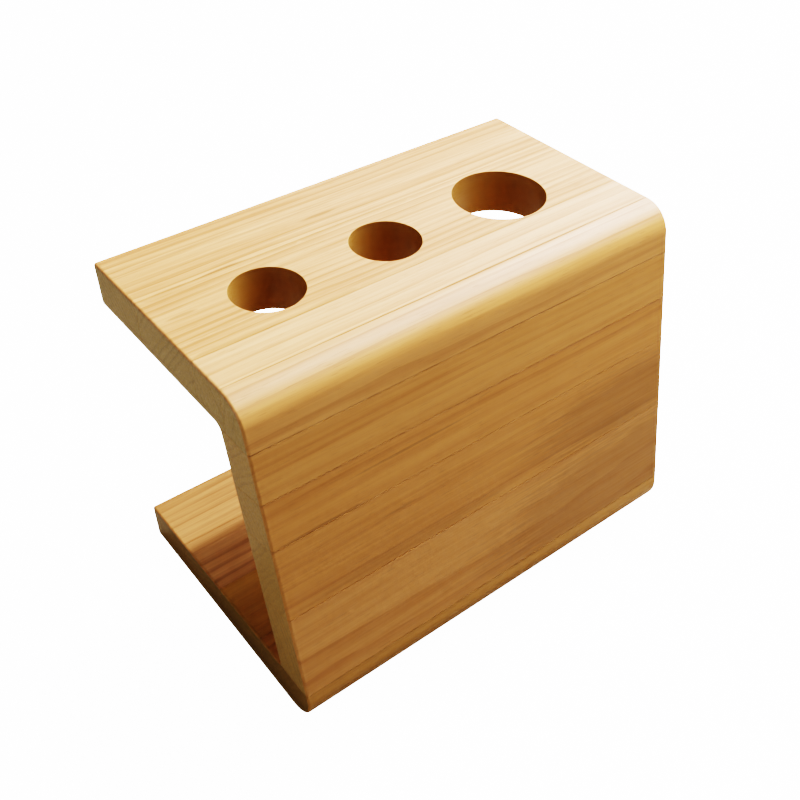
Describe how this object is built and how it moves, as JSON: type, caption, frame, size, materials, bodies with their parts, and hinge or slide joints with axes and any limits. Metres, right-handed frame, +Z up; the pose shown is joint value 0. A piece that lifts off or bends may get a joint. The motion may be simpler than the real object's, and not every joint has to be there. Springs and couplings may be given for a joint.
{
  "type": "tool storage caddy",
  "caption": "C-shaped wooden stand with a leaning front panel, an open back, and through holes in the top board that hold hand tools or small bottles upright.",
  "frame": {"origin": "middle of the footprint, on the surface that the caddy stands on", "axes": "+X along the length, from the small holes towards the large one; +Y towards the open back; +Z up"},
  "size_m": [0.155, 0.1, 0.1165],
  "materials": {
    "top_wood": "pale straight-grained wood under satin varnish",
    "panel_wood": "golden brown straight-grained wood under satin varnish",
    "base_wood": "light brown straight-grained wood under satin varnish",
    "dowel_wood": "plain planed hardwood, unfinished"
  },
  "bodies": {
    "root": {"top_stave_front": "top_wood", "top_stave_second": "top_wood", "top_stave_middle": "top_wood", "top_stave_back": "top_wood", "panel_stave_upper": "panel_wood", "panel_stave_second": "panel_wood", "panel_stave_third": "panel_wood", "panel_stave_lower": "panel_wood", "base_stave_front": "base_wood", "base_stave_second": "base_wood", "base_stave_third": "base_wood", "base_stave_back": "base_wood", "upper_dowel_left": "dowel_wood", "upper_dowel_middle": "dowel_wood", "upper_dowel_right": "dowel_wood", "lower_dowel_left": "dowel_wood", "lower_dowel_middle": "dowel_wood", "lower_dowel_right": "dowel_wood"}
  },
  "joints": []
}
